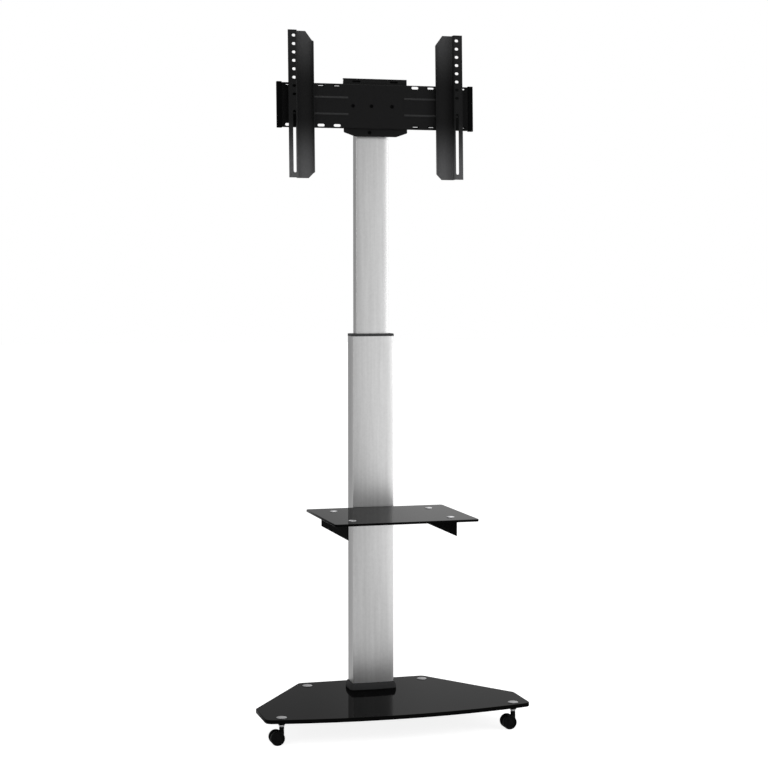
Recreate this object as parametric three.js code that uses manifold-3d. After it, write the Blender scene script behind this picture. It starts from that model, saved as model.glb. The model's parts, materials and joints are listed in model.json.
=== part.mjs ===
// A television floor stand: a black glass base on four casters, a telescoping aluminium
// column, a glass shelf clamped to it, and a tilting steel head with a rail and two arms.
// Millimetres, +Z up, the front towards -Y. The origin is on the floor, under the middle
// of the stand's outline seen from above, where the shelf reaches out past the base.

import * as THREE from 'three';
import { mergeVertices } from 'three/addons/utils/BufferGeometryUtils.js';
import Module from 'manifold-3d';

const wasm = await Module();
wasm.setup();

// Fits that several pieces share
const seatGap = 0.3;
const slideGap = 0.5;
const overrun = 5;
const hexSides = 6;
const weldDistance = 0.001;

// Facets of round work
const arcSteps = 3;
const slotEndSteps = 2;
const bowSteps = 6;
const baseBowSteps = 12;
const boreSteps = 10;
const roundSteps = 16;
const capSteps = 12;

// Base glass, measured from the column's axis, which is set back from the middle
const baseWidth = 814;
const baseDepth = 497;
const baseThickness = 12;
const baseTop = 78;
const baseBackWidth = 408;
const baseSideLength = 148;
const baseFrontBow = 46;
const baseCorner = 20;
const baseArris = 1;
const columnSetback = 117;

// Lower column: an extrusion with bowed faces and a screw channel in each corner
const lowerSection = { width: 131, depth: 68, flat: 55, corner: 2.5 };
const lowerWall = 3.2;
const lowerTop = 1176;
const channelRadius = 4.25;
const channelBore = 2.8;

// Upper column, which slides inside the lower one
const upperSection = { width: 103, depth: 44, flat: 32, corner: 2.5 };
const upperWall = 2.5;
const upperRise = 19;
const upperInsertion = 350;

// Foot: a plate under the glass with studs up into the column's screw channels
const footPlateWidth = 180;
const footPlateDepth = 104;
const footPlateThickness = 6;
const footPlateCorner = 12;
const studRadius = 2.5;
const studReach = 40;
const studHoleRadius = 4.3;

// Foot collar: the black moulding round the column where it meets the glass
const collarSpread = 8.5;
const collarHeight = 22;
const collarSkirtShare = 1 / 3;
const collarLip = 3.5;
const collarShoulder = 6;
const collarGasket = 2;
const collarGasketWidth = 13;

// Ring on top of the lower column, with a sleeve that guides the upper one
const ringHeight = 8;
const ringProud = 0.8;
const ringSoftening = 1.5;
const ringSleeveDepth = 30;
const ringSleeveWall = 3;

// Glide at the foot of the upper column, and the cap on its top
const glideHeight = 60;
const glideSpread = 8;
const glideFloor = 4;
const glideLedge = 6;
const capPlate = 3;
const capPlugDepth = 12;
const capPlugWall = 3;

// Height lock: a lobed knob at the back, with a nut block inside the wall
const knobDrop = 56;
const knobRadius = 20;
const knobLobe = 2.5;
const knobLobes = 6;
const knobLobeSteps = 5;
const knobThickness = 16;
const knobEdge = 2;
const knobNeckRadius = 9;
const knobNeckLength = 4;
const knobScrewRadius = 4;
const nutWidth = 22;
const nutHeight = 24;
const nutThickness = 6;

// Casters: twin wheels on a swivelling body that trails behind its stem
const casterSideInset = 50;
const casterFrontInset = 64;
const casterBackInset = 47;
const casterBackSpread = 375;
const wheelRadius = 21;
const wheelWidth = 12;
const wheelRound = 1.5;
const wheelRimWidth = 4;
const wheelDish = 2;
const wheelHubRadius = 11;
const casterTrail = 15;
const forkThickness = 13;
const forkHubRadius = 13;
const forkHubLean = THREE.MathUtils.degToRad(15);
const forkTowerRadius = 6.2;
const forkRound = 1.5;
const forkCollarRadius = 7.5;
const forkTop = 52;
const stemRadius = 4;
const stemFoot = 21;
const stemNutRadius = 9;
const stemNutFoot = 54;
const stemNutThickness = 4;
const stemThreadRadius = 3;
const axleRadius = 3;
const spacerRadius = 20;
const spacerFootRadius = 10;
const casterCapRadius = 15.5;
const casterCapHeight = 3;
const casterCapRim = 1;
const casterCapShoulder = 3;
const barrelRadius = 5;
const barrelLength = 9;

// Shelf: a glass plate on a steel frame, held to the column by a clamp
const shelfTop = 650;
const shelfWidth = 436;
const shelfDepth = 363;
const shelfThickness = 7;
const shelfCorner = 9;
const shelfColumnGap = 9;
const shelfArris = 0.8;
const shelfCapSpread = 300;
const shelfCapInset = 65;
const shelfCapPitch = 219;
const shelfCapRadius = 11.5;
const shelfCapHeight = 3;
const shelfCapRim = 1;
const shelfCapShoulder = 2.5;
const shelfPinRadius = 3;
const shelfPinReach = 9;
const frameWidth = 334;
const frameFrontInset = 55;
const frameWebHeight = 48;
const frameFlange = 30;
const frameSheet = 3;
const frameInnerCorner = 14;
const clampHeight = 34;
const clampSheet = 3;
const clampEar = 24;
const clampDraw = 3;
const clampBoltRadius = 4;
const clampHeadRadius = 7;
const clampHeadThickness = 5;
const clampNutThickness = 6.5;

// Head: a bracket on the upper column carries a tilting plate, which carries the rail
const headHeight = 1873;
const headLean = THREE.MathUtils.degToRad(2.2);
const pivotReach = 17;
const bracketSheet = 4;
const bracketHeight = 120;
const bracketNose = 9;
const bracketNoseHeight = 28;
const bracketNoseRound = 8;
const plateWidth = 200;
const plateRise = 85;
const plateDrop = 90;
const plateSheet = 3;
const plateFlange = 20;
const plateFlangeInset = 22;
const plateTopFlange = 9;
const plateCutWidth = 35;
const plateCutHeight = 12;
const plateReach = 16;
const plateSlotSpread = 118;
const plateSlotLength = 26;
const plateSlotHeight = 6;
const plateSlotDrop = 9;
const tiltBoltRadius = 4;
const tiltHeadRadius = 8;
const tiltHeadThickness = 6;

// Rail: a pressed channel with slots along both edges and two raised beads
const railLength = 616;
const railHeight = 134;
const railSheet = 2.5;
const railDepth = 10;
const railBend = 2.5;
const railSlotLength = 22;
const railSlotHeight = 8;
const railSlotInset = 7.5;
const railSlotEnd = 35;
const railSlotPitch = 50;
const railSlotCount = 4;
const beadSpread = 50;
const beadRadius = 4;
const beadProud = 2;
const beadInner = 88;
const beadEnd = 48;
const endCapWidth = 14;
const endCapWall = 2;

// Arms: pressed uprights with a strip behind and a row of screw holes in front
const armLength = 440;
const armWidth = 81.5;
const armEndInset = 35;
const armShift = 5.4;
const armFlangeWidth = 28;
const armSheet = 2.5;
const armBend = 3;
const armStep = 18;
const armLip = 9;
const armStandoff = 4;
const armTopCutWidth = 24;
const armTopCutHeight = 32;
const armBottomCut = 18;
const armHoleWidth = 12;
const armHoleHeight = 8.5;
const armHoleInset = 18;
const armHoleFirst = 16.6;
const armHolePitch = 25;
const armHoleCount = 8;
const armSlotWidth = 9.5;
const armSlotFrom = 238;
const armSlotTo = 425;
const hookWidth = 36;
const hookSheet = 3;
const hookBend = 2;
const hookReach = 10;
const hookInset = 8;
const lockScrewRadius = 3;
const lockHeadRadius = 9;
const lockHeadThickness = 9;
const lockHeadRound = 1.5;
const lockNeck = 3;

// Places worked out from the sizes above, with the column's axis at x = 0, y = 0
const baseFoot = baseTop - baseThickness;
const baseBack = columnSetback;
const baseFront = baseBack - baseDepth;
const columnFoot = baseTop + collarGasket;
const ringTop = lowerTop + ringHeight;
const upperFoot = ringTop - upperInsertion;
const upperTop = headHeight + upperRise;
const channelX = lowerSection.width / 2 - lowerWall - channelRadius + slideGap;
const channelY = lowerSection.flat / 2 - channelRadius - lowerWall + slideGap;
const knobHeight = lowerTop - knobDrop;
const lowerBack = lowerSection.depth / 2;
const upperBack = upperSection.depth / 2;
const shelfFoot = shelfTop - shelfThickness;
const shelfBack = -lowerBack - shelfColumnGap;
const shelfFront = shelfBack - shelfDepth;

const finish = (colour, roughness, metalness = 0) =>
  new THREE.MeshStandardMaterial({ color: colour, roughness, metalness });
const materials = {
  glass: finish(0x0b0b0c, 0.06),
  aluminium: finish(0xb9bbbd, 0.42, 0.85),
  steel: finish(0x1c1c1e, 0.5, 0.3),
  plastic: finish(0x141415, 0.45),
  tread: finish(0x101010, 0.75),
  satin: finish(0xc9cacb, 0.3, 0.9),
  zinc: finish(0x8f9194, 0.4, 0.8),
};

// The sign of the volume under all the triangles tells which way a surface faces
function facesIn(positions, index) {
  const a = new THREE.Vector3();
  const b = new THREE.Vector3();
  const c = new THREE.Vector3();
  let volume = 0;
  for (let i = 0; i < index.length; i += 3) {
    a.fromArray(positions, 3 * index[i]);
    b.fromArray(positions, 3 * index[i + 1]);
    c.fromArray(positions, 3 * index[i + 2]);
    volume += a.dot(b.cross(c));
  }
  return volume < 0;
}

// A closed geometry as a solid that can be joined and cut
function solidOf(geometry) {
  const bare = geometry.clone();
  bare.deleteAttribute('normal');
  bare.deleteAttribute('uv');
  const merged = mergeVertices(bare, weldDistance);
  const positions = merged.attributes.position.array;
  const kept = [];
  for (let i = 0; i < merged.index.count; i += 3) {
    const corners = [0, 1, 2].map((k) => merged.index.getX(i + k));
    if (new Set(corners).size === corners.length) kept.push(corners);
  }
  if (facesIn(positions, kept.flat())) kept.forEach((corners) => corners.reverse());
  return new wasm.Manifold(new wasm.Mesh({
    numProp: 3,
    vertProperties: Float32Array.from(positions),
    triVerts: Uint32Array.from(kept.flat()),
  }));
}

function geometryOf(solid) {
  const mesh = solid.getMesh();
  const geometry = new THREE.BufferGeometry();
  geometry.setAttribute('position', new THREE.BufferAttribute(mesh.vertProperties, 3));
  geometry.setIndex(new THREE.BufferAttribute(mesh.triVerts, 1));
  const flat = geometry.toNonIndexed();
  flat.computeVertexNormals();
  return flat;
}

function joined(...solids) {
  return solids.reduce((whole, piece) => whole.add(piece));
}

function cut(solid, ...tools) {
  return tools.reduce((whole, tool) => whole.subtract(tool), solid);
}

// An outline in the plane across an axis, run from one place on that axis to another.
// Across X the outline holds (y, z), across Y it holds (x, z) and across Z it holds (x, y).
function prism(outline, axis, from, to, bevel = 0) {
  const low = Math.min(from, to);
  const high = Math.max(from, to);
  const geometry = new THREE.ExtrudeGeometry(new THREE.Shape(outline), {
    depth: high - low - 2 * bevel,
    bevelEnabled: bevel > 0,
    bevelSize: bevel,
    bevelThickness: bevel,
    bevelOffset: -bevel,
    bevelSegments: 1,
  });
  geometry.translate(0, 0, bevel);
  const X = new THREE.Vector3(1, 0, 0);
  const Y = new THREE.Vector3(0, 1, 0);
  const Z = new THREE.Vector3(0, 0, 1);
  const turn = new THREE.Matrix4();
  if (axis === 'x') geometry.applyMatrix4(turn.makeBasis(Y, Z, X)).translate(low, 0, 0);
  if (axis === 'y') geometry.applyMatrix4(turn.makeBasis(X, Z, Y.negate())).translate(0, high, 0);
  if (axis === 'z') geometry.translate(0, 0, low);
  return solidOf(geometry);
}

function rectangle(left, low, right, high) {
  return [
    new THREE.Vector2(left, low),
    new THREE.Vector2(right, low),
    new THREE.Vector2(right, high),
    new THREE.Vector2(left, high),
  ];
}

function circle(radius, x = 0, y = 0, steps = boreSteps) {
  const points = [];
  for (let i = 0; i < steps; i++) {
    const angle = (2 * Math.PI * i) / steps;
    points.push(new THREE.Vector2(x + radius * Math.cos(angle), y + radius * Math.sin(angle)));
  }
  return points;
}

// A polygon whose corners are rounded to the radius given with each, none where it is 0
function roundedPolygon(corners, steps = arcSteps) {
  const points = [];
  corners.forEach(([x, y, radius], i) => {
    const corner = new THREE.Vector2(x, y);
    if (!radius) {
      points.push(corner);
      return;
    }
    const before = corners[(i + corners.length - 1) % corners.length];
    const after = corners[(i + 1) % corners.length];
    const back = new THREE.Vector2(before[0], before[1]).sub(corner).normalize();
    const ahead = new THREE.Vector2(after[0], after[1]).sub(corner).normalize();
    const half = Math.acos(THREE.MathUtils.clamp(back.dot(ahead), -1, 1)) / 2;
    const middle = back.clone().add(ahead).normalize().multiplyScalar(radius / Math.sin(half));
    const centre = corner.clone().add(middle);
    const first = corner.clone().addScaledVector(back, radius / Math.tan(half)).sub(centre);
    const last = corner.clone().addScaledVector(ahead, radius / Math.tan(half)).sub(centre);
    const sweep = Math.atan2(first.cross(last), first.dot(last));
    for (let k = 0; k <= steps; k++) {
      const spoke = first.clone().rotateAround(new THREE.Vector2(), (sweep * k) / steps);
      points.push(centre.clone().add(spoke));
    }
  });
  return points;
}

function roundedRectangle(left, low, right, high, radius, steps = arcSteps) {
  const corners = rectangle(left, low, right, high).map((p) => [p.x, p.y, radius]);
  return roundedPolygon(corners, steps);
}

// An oblong hole with round ends, its longer side along the first direction or the second
function oblong(x, y, across, up) {
  const radius = Math.min(across, up) / 2 - weldDistance;
  const [left, low] = [x - across / 2, y - up / 2];
  return roundedRectangle(left, low, left + across, low + up, radius, slotEndSteps);
}

// The outline of a bent sheet, given the line along the middle of its thickness
function bentSheet(path, thickness, bend) {
  const line = path.map(([x, y]) => new THREE.Vector2(x, y));
  const stations = [];
  const normalTo = (d) => new THREE.Vector2(-d.y, d.x);
  line.forEach((point, i) => {
    const into = i > 0 ? point.clone().sub(line[i - 1]).normalize() : null;
    const outOf = i < line.length - 1 ? line[i + 1].clone().sub(point).normalize() : null;
    if (!into || !outOf) {
      stations.push({ point, normal: normalTo(into ?? outOf) });
      return;
    }
    const turn = Math.atan2(into.cross(outOf), into.dot(outOf));
    const start = point.clone().addScaledVector(into, -bend * Math.tan(Math.abs(turn) / 2));
    const centre = start.clone().addScaledVector(normalTo(into), Math.sign(turn) * bend);
    for (let k = 0; k <= arcSteps; k++) {
      const angle = (turn * k) / arcSteps;
      stations.push({
        point: start.clone().rotateAround(centre, angle),
        normal: normalTo(into).rotateAround(new THREE.Vector2(), angle),
      });
    }
  });
  const side = (s) => stations.map(({ point, normal }) => (
    point.clone().addScaledVector(normal, (s * thickness) / 2)));
  return [...side(1), ...side(-1).reverse()];
}

// A column's outline, grown by an even margin: flat sides, small round corners, bowed faces
function bowedOutline(section, grow = 0) {
  const corner = Math.max(section.corner + grow, section.corner / 2);
  const inset = corner - (section.corner + grow);
  const across = section.width / 2 + grow - corner;
  const flat = section.flat / 2 - inset;
  const rise = section.depth / 2 + grow - flat;
  const bow = (across ** 2 + rise ** 2 - corner ** 2) / (2 * (rise - corner));
  const bowCentre = section.depth / 2 + grow - bow;
  const lean = Math.atan2(across, flat - bowCentre);
  const quarter = [];
  for (let k = 0; k <= arcSteps; k++) {
    const angle = ((Math.PI / 2 - lean) * k) / arcSteps;
    quarter.push([across + corner * Math.cos(angle), flat + corner * Math.sin(angle)]);
  }
  const face = [];
  for (let k = 1; k < bowSteps; k++) {
    const angle = lean - (2 * lean * k) / bowSteps;
    face.push([bow * Math.sin(angle), bowCentre + bow * Math.cos(angle)]);
  }
  const mirrored = quarter.map(([x, y]) => [-x, y]).reverse();
  const half = [...quarter, ...face, ...mirrored];
  const other = half.map(([x, y]) => [-x, -y]);
  return [...half, ...other].map(([x, y]) => new THREE.Vector2(x, y));
}

// A closed profile carried round a column's outline: each station of it names the outline,
// how far it is grown, and its height
function outlineRing(stations) {
  const rings = stations.map(([section, grow, z]) => (
    bowedOutline(section, grow).map((p) => [p.x, p.y, z])));
  const count = rings[0].length;
  const index = [];
  rings.forEach((ring, i) => {
    const low = i * count;
    const high = ((i + 1) % rings.length) * count;
    for (let k = 0; k < count; k++) {
      const next = (k + 1) % count;
      index.push(low + k, low + next, high + next);
      index.push(low + k, high + next, high + k);
    }
  });
  const geometry = new THREE.BufferGeometry();
  const numbers = Float32Array.from(rings.flat(2));
  geometry.setAttribute('position', new THREE.BufferAttribute(numbers, 3));
  geometry.setIndex(index);
  return solidOf(geometry);
}

// A turned piece about the upright axis: its profile is a list of (radius, height)
function turned(profile, steps = roundSteps) {
  const points = profile.map(([radius, height]) => new THREE.Vector2(radius, height));
  return solidOf(new THREE.LatheGeometry(points, steps).rotateX(Math.PI / 2));
}

function turnedAcross(profile, steps = roundSteps) {
  const points = profile.map(([radius, height]) => new THREE.Vector2(radius, height));
  return solidOf(new THREE.LatheGeometry(points, steps));
}

const stand = new THREE.Group();
stand.name = 'tv_floor_stand';
const upright = new THREE.Group();
upright.position.y = -(baseBack + Math.min(baseFront, shelfFront)) / 2;
stand.add(upright);

function place(name, solid, material, group = upright) {
  const mesh = new THREE.Mesh(geometryOf(solid), material);
  mesh.name = name;
  group.add(mesh);
}

// The four screw channels' places, shared by the column, its studs, collar, ring and glide
const channels = [[-1, -1], [1, -1], [1, 1], [-1, 1]].map(([sx, sy]) => (
  [sx * channelX, sy * channelY]));

function channelRods(radius, from, to) {
  return channels.map(([x, y]) => prism(circle(radius, x, y), 'z', from, to));
}

const casters = [
  { name: 'front_left', x: -baseWidth / 2 + casterSideInset, y: baseFront + casterFrontInset },
  { name: 'front_right', x: baseWidth / 2 - casterSideInset, y: baseFront + casterFrontInset },
  { name: 'rear_left', x: -casterBackSpread / 2, y: baseBack - casterBackInset },
  { name: 'rear_right', x: casterBackSpread / 2, y: baseBack - casterBackInset },
];

function baseGlass() {
  const side = baseWidth / 2;
  const sideFront = baseFront + baseFrontBow;
  const bowRadius = (side ** 2 + baseFrontBow ** 2) / (2 * baseFrontBow);
  const bowCentre = baseFront + bowRadius;
  const bowLean = Math.asin(side / bowRadius);
  const bow = [];
  for (let k = 1; k < baseBowSteps; k++) {
    const angle = bowLean - (2 * bowLean * k) / baseBowSteps;
    bow.push([bowRadius * Math.sin(angle), bowCentre - bowRadius * Math.cos(angle), 0]);
  }
  const outline = roundedPolygon([
    [-baseBackWidth / 2, baseBack, baseCorner],
    [-side, sideFront + baseSideLength, baseCorner],
    [-side, sideFront, baseCorner],
    ...bow.reverse(),
    [side, sideFront, baseCorner],
    [side, sideFront + baseSideLength, baseCorner],
    [baseBackWidth / 2, baseBack, baseCorner],
  ]);
  const plate = prism(outline, 'z', baseFoot, baseTop, baseArris);
  const stemHoles = casters.map(({ x, y }) => (
    prism(circle(barrelRadius + slideGap, x, y), 'z', baseFoot - overrun, baseTop + overrun)));
  const studHoles = channelRods(studHoleRadius, baseFoot - overrun, baseTop + overrun);
  return cut(plate, ...stemHoles, ...studHoles);
}

function footPlate() {
  const x = footPlateWidth / 2;
  const y = footPlateDepth / 2;
  const outline = roundedRectangle(-x, -y, x, y, footPlateCorner);
  const plate = prism(outline, 'z', baseFoot - footPlateThickness, baseFoot);
  return joined(plate, ...channelRods(studRadius, baseFoot - footPlateThickness, columnFoot + studReach));
}

function footCollar() {
  const shoulder = baseTop + collarHeight - collarShoulder;
  const ring = outlineRing([
    [lowerSection, collarSpread, baseTop],
    [lowerSection, collarSpread, baseTop + collarHeight * collarSkirtShare],
    [lowerSection, (collarSpread + collarLip) / 2 + seatGap, shoulder],
    [lowerSection, collarLip, baseTop + collarHeight - seatGap],
    [lowerSection, collarLip - seatGap, baseTop + collarHeight],
    [lowerSection, seatGap, baseTop + collarHeight],
    [lowerSection, seatGap, columnFoot],
    [lowerSection, -collarGasketWidth, columnFoot],
    [lowerSection, -collarGasketWidth, baseTop],
  ]);
  return cut(ring, ...channelRods(studRadius + slideGap, baseTop - overrun, columnFoot + overrun));
}

function lowerColumn() {
  const tube = outlineRing([
    [lowerSection, 0, columnFoot],
    [lowerSection, 0, lowerTop],
    [lowerSection, -lowerWall, lowerTop],
    [lowerSection, -lowerWall, columnFoot],
  ]);
  const withChannels = joined(tube, ...channelRods(channelRadius, columnFoot, lowerTop));
  const bores = channelRods(channelBore, columnFoot - overrun, lowerTop + overrun);
  const knobBore = circle(knobScrewRadius + seatGap, 0, knobHeight);
  const knobHole = prism(knobBore, 'y', upperBack, lowerBack + overrun);
  return cut(withChannels, ...bores, knobHole);
}

function columnRing() {
  const edge = lowerTop + ringHeight - ringSoftening;
  const sleeveFoot = lowerTop - ringSleeveDepth;
  const ring = outlineRing([
    [lowerSection, ringProud, lowerTop],
    [lowerSection, ringProud, edge],
    [lowerSection, ringProud - ringSoftening, ringTop],
    [upperSection, slideGap, ringTop],
    [upperSection, slideGap, sleeveFoot],
    [upperSection, slideGap + ringSleeveWall, sleeveFoot],
    [upperSection, slideGap + ringSleeveWall, lowerTop],
  ]);
  return cut(ring, ...channelRods(channelRadius + seatGap, sleeveFoot - overrun, lowerTop));
}

function upperColumn() {
  return outlineRing([
    [upperSection, 0, upperFoot],
    [upperSection, 0, upperTop],
    [upperSection, -upperWall, upperTop],
    [upperSection, -upperWall, upperFoot],
  ]);
}

function upperGlide() {
  const foot = upperFoot - glideFloor;
  const top = foot + glideHeight;
  const ring = outlineRing([
    [upperSection, glideSpread, foot],
    [upperSection, glideSpread, top],
    [upperSection, seatGap, top],
    [upperSection, seatGap, upperFoot],
    [upperSection, -glideLedge, upperFoot],
    [upperSection, -glideLedge, foot],
  ]);
  return cut(ring, ...channelRods(channelRadius + slideGap, foot - overrun, top + overrun));
}

function upperCap() {
  const plate = prism(bowedOutline(upperSection), 'z', upperTop, upperTop + capPlate);
  const plugFace = -upperWall - seatGap;
  const plug = outlineRing([
    [upperSection, plugFace, upperTop - capPlugDepth],
    [upperSection, plugFace, upperTop],
    [upperSection, plugFace - capPlugWall, upperTop],
    [upperSection, plugFace - capPlugWall, upperTop - capPlugDepth],
  ]);
  return joined(plate, plug);
}

// The knob turns on a screw whose tip presses on the back of the upper column
function heightKnob() {
  const lobes = [];
  const steps = knobLobes * knobLobeSteps;
  for (let i = 0; i < steps; i++) {
    const angle = (2 * Math.PI * i) / steps;
    const radius = knobRadius - knobLobe + knobLobe * Math.cos(knobLobes * angle);
    lobes.push(new THREE.Vector2(radius * Math.cos(angle), knobHeight + radius * Math.sin(angle)));
  }
  const neckFrom = lowerBack + slideGap;
  const grip = neckFrom + knobNeckLength;
  return joined(
    prism(lobes, 'y', grip, grip + knobThickness, knobEdge),
    prism(circle(knobNeckRadius, 0, knobHeight, roundSteps), 'y', neckFrom, grip + knobEdge),
    prism(circle(knobScrewRadius, 0, knobHeight), 'y', upperBack + slideGap, grip + knobEdge),
  );
}

function heightNut() {
  const outer = lowerBack - lowerWall - seatGap;
  const block = prism(
    rectangle(-nutWidth / 2, knobHeight - nutHeight / 2, nutWidth / 2, knobHeight + nutHeight / 2),
    'y', outer - nutThickness, outer,
  );
  const bore = prism(circle(knobScrewRadius + seatGap, 0, knobHeight), 'y', upperBack, lowerBack);
  return cut(block, bore);
}

// One caster, about its stem's axis: the wheels trail towards -X
function casterBody() {
  const hub = [-casterTrail, wheelRadius];
  const shape = new THREE.Shape();
  const towerFoot = wheelRadius - forkHubRadius / 2;
  const towerTop = 2 * wheelRadius + seatGap;
  const hubTop = Math.PI / 2 + forkHubLean;
  shape.moveTo(forkTowerRadius, towerTop);
  shape.lineTo(forkTowerRadius, towerFoot);
  shape.quadraticCurveTo(forkTowerRadius, wheelRadius - forkHubRadius, hub[0], hub[1] - forkHubRadius);
  shape.absarc(hub[0], hub[1], forkHubRadius, -Math.PI / 2, hubTop - 2 * Math.PI, true);
  shape.quadraticCurveTo(-forkTowerRadius, wheelRadius + forkHubRadius, -forkTowerRadius, towerTop);
  const web = prism(shape.getPoints(arcSteps + 1), 'y', -forkThickness / 2, forkThickness / 2, forkRound);
  const collar = turned([
    [0, towerTop - forkRound],
    [forkTowerRadius - forkRound, towerTop - forkRound],
    [forkCollarRadius, towerTop + forkRound],
    [forkCollarRadius, forkTop - forkRound],
    [forkCollarRadius - forkRound, forkTop],
    [0, forkTop],
  ], capSteps);
  const stemBore = prism(circle(stemRadius + seatGap), 'z', stemFoot - seatGap, forkTop + overrun);
  const axleBore = prism(circle(axleRadius + seatGap, ...hub), 'y', -forkThickness, forkThickness);
  return cut(joined(web, collar), stemBore, axleBore);
}

function casterStem() {
  const nutTop = stemNutFoot + stemNutThickness;
  return turned([
    [0, stemFoot],
    [stemRadius, stemFoot],
    [stemRadius, stemNutFoot],
    [stemNutRadius, stemNutFoot],
    [stemNutRadius, nutTop],
    [stemThreadRadius, nutTop],
    [stemThreadRadius, baseTop - seatGap],
    [0, baseTop - seatGap],
  ], boreSteps);
}

function casterSpacer() {
  const foot = stemNutFoot + stemNutThickness;
  const bore = stemThreadRadius + seatGap;
  return turned([
    [bore, foot],
    [spacerFootRadius, foot],
    [spacerRadius, baseFoot - wheelRound],
    [spacerRadius, baseFoot],
    [bore, baseFoot],
    [bore, foot],
  ], capSteps);
}

// A low domed cap with a threaded barrel down through the glass
function casterCap() {
  const bore = stemThreadRadius + seatGap;
  const top = baseTop + casterCapHeight;
  return turned([
    [0, baseTop],
    [bore, baseTop],
    [bore, baseTop - barrelLength],
    [barrelRadius, baseTop - barrelLength],
    [barrelRadius, baseTop],
    [casterCapRadius, baseTop],
    [casterCapRadius, baseTop + casterCapRim],
    [casterCapRadius - casterCapShoulder, top - casterCapRim / 2],
    [casterCapRadius / 2, top],
    [0, top],
  ], capSteps);
}

function casterAxle() {
  const half = forkThickness / 2 + wheelWidth - wheelDish - seatGap;
  return prism(circle(axleRadius, -casterTrail, wheelRadius), 'y', -half, half);
}

// A wheel's profile runs from its outer face to a blind bore that takes the axle
function casterWheel(side) {
  const inner = forkThickness / 2 + slideGap;
  const outer = inner + wheelWidth;
  const dish = outer - wheelDish;
  const rim = wheelRadius - wheelRimWidth;
  const bore = axleRadius + seatGap;
  const profile = [
    [0, outer - wheelRound],
    [wheelHubRadius - wheelRound, outer - wheelRound],
    [wheelHubRadius, dish],
    [rim - wheelRound, dish],
    [rim, outer],
    [wheelRadius - wheelRound, outer],
    [wheelRadius, outer - wheelRound],
    [wheelRadius, inner],
    [bore, inner],
    [bore, dish - slideGap],
    [0, dish - slideGap],
  ];
  const wheel = turnedAcross(profile.map(([radius, y]) => [radius, side * y]));
  return wheel.translate([-casterTrail, 0, wheelRadius]);
}

function addCaster({ name, x, y }) {
  const group = new THREE.Group();
  group.position.set(x, y, 0);
  upright.add(group);
  place(`caster_cap_${name}`, casterCap(), materials.satin, group);
  place(`caster_spacer_${name}`, casterSpacer(), materials.plastic, group);
  place(`caster_stem_${name}`, casterStem(), materials.zinc, group);
  place(`caster_body_${name}`, casterBody(), materials.plastic, group);
  place(`caster_axle_${name}`, casterAxle(), materials.zinc, group);
  place(`caster_wheel_${name}_a`, casterWheel(-1), materials.tread, group);
  place(`caster_wheel_${name}_b`, casterWheel(1), materials.tread, group);
}

// Shelf
const shelfPins = [-1, 1].flatMap((side) => [0, 1].map((row) => (
  [(side * shelfCapSpread) / 2, shelfFront + shelfCapInset + row * shelfCapPitch])));

function shelfGlass() {
  const x = shelfWidth / 2;
  const outline = roundedRectangle(-x, shelfFront, x, shelfBack, shelfCorner);
  const plate = prism(outline, 'z', shelfFoot, shelfTop, shelfArris);
  const holes = shelfPins.map(([px, py]) => (
    prism(circle(shelfPinRadius + slideGap, px, py), 'z', shelfFoot - overrun, shelfTop + overrun)));
  return cut(plate, ...holes);
}

const frameBack = -lowerBack - seatGap;
const frameFront = shelfFront + frameFrontInset;
const clampEarX = lowerSection.width / 2 + seatGap + clampEar / 2 + clampSheet / 2;

// A bent frame: a flat U under the glass, with webs turned down along its outer edges
function shelfFrame() {
  const x = frameWidth / 2;
  const inner = x - frameFlange;
  const innerBack = frameBack - frameFlange;
  const top = roundedPolygon([
    [-x, frameFront, 0],
    [-inner, frameFront, 0],
    [-inner, innerBack, frameInnerCorner],
    [inner, innerBack, frameInnerCorner],
    [inner, frameFront, 0],
    [x, frameFront, 0],
    [x, frameBack, 0],
    [-x, frameBack, 0],
  ]);
  const webFoot = shelfFoot - frameWebHeight;
  const flange = prism(top, 'z', shelfFoot - frameSheet, shelfFoot);
  const webs = [-1, 1].map((side) => (
    prism(rectangle(frameFront, webFoot, frameBack, shelfFoot), 'x', side * x, side * (x - frameSheet))));
  const backWeb = prism(rectangle(-x, webFoot, x, shelfFoot), 'y', frameBack - frameSheet, frameBack);
  const pinHoles = shelfPins.map(([px, py]) => {
    const outline = circle(shelfPinRadius + seatGap, px, py);
    return prism(outline, 'z', shelfFoot - frameSheet - overrun, shelfFoot + overrun);
  });
  const boltHoles = [-1, 1].map((side) => clampBore(side));
  return cut(joined(flange, ...webs, backWeb), ...pinHoles, ...boltHoles);
}

const clampMiddle = shelfFoot - frameSheet - clampHeight / 2;

function clampBore(side) {
  const outline = circle(clampBoltRadius + seatGap, side * clampEarX, clampMiddle);
  return prism(outline, 'y', frameBack - frameSheet - overrun, frameBack + clampDraw + clampSheet + overrun);
}

// A strap round the back of the column, with an ear at each end for its bolt
function shelfClamp() {
  const low = clampMiddle - clampHeight / 2;
  const high = clampMiddle + clampHeight / 2 - seatGap;
  const strap = outlineRing([
    [lowerSection, seatGap, low],
    [lowerSection, seatGap, high],
    [lowerSection, seatGap + clampSheet, high],
    [lowerSection, seatGap + clampSheet, low],
  ]);
  const earFront = frameBack + clampDraw;
  const reach = lowerSection.width;
  const front = prism(rectangle(-reach, -reach, reach, earFront), 'z', low - overrun, high + overrun);
  const inner = lowerSection.width / 2 + seatGap;
  const ears = [-1, 1].map((side) => {
    const outline = rectangle(side * inner, low, side * (inner + clampSheet + clampEar), high);
    return prism(outline, 'y', earFront, earFront + clampSheet);
  });
  return cut(joined(cut(strap, front), ...ears), clampBore(-1), clampBore(1));
}

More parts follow.
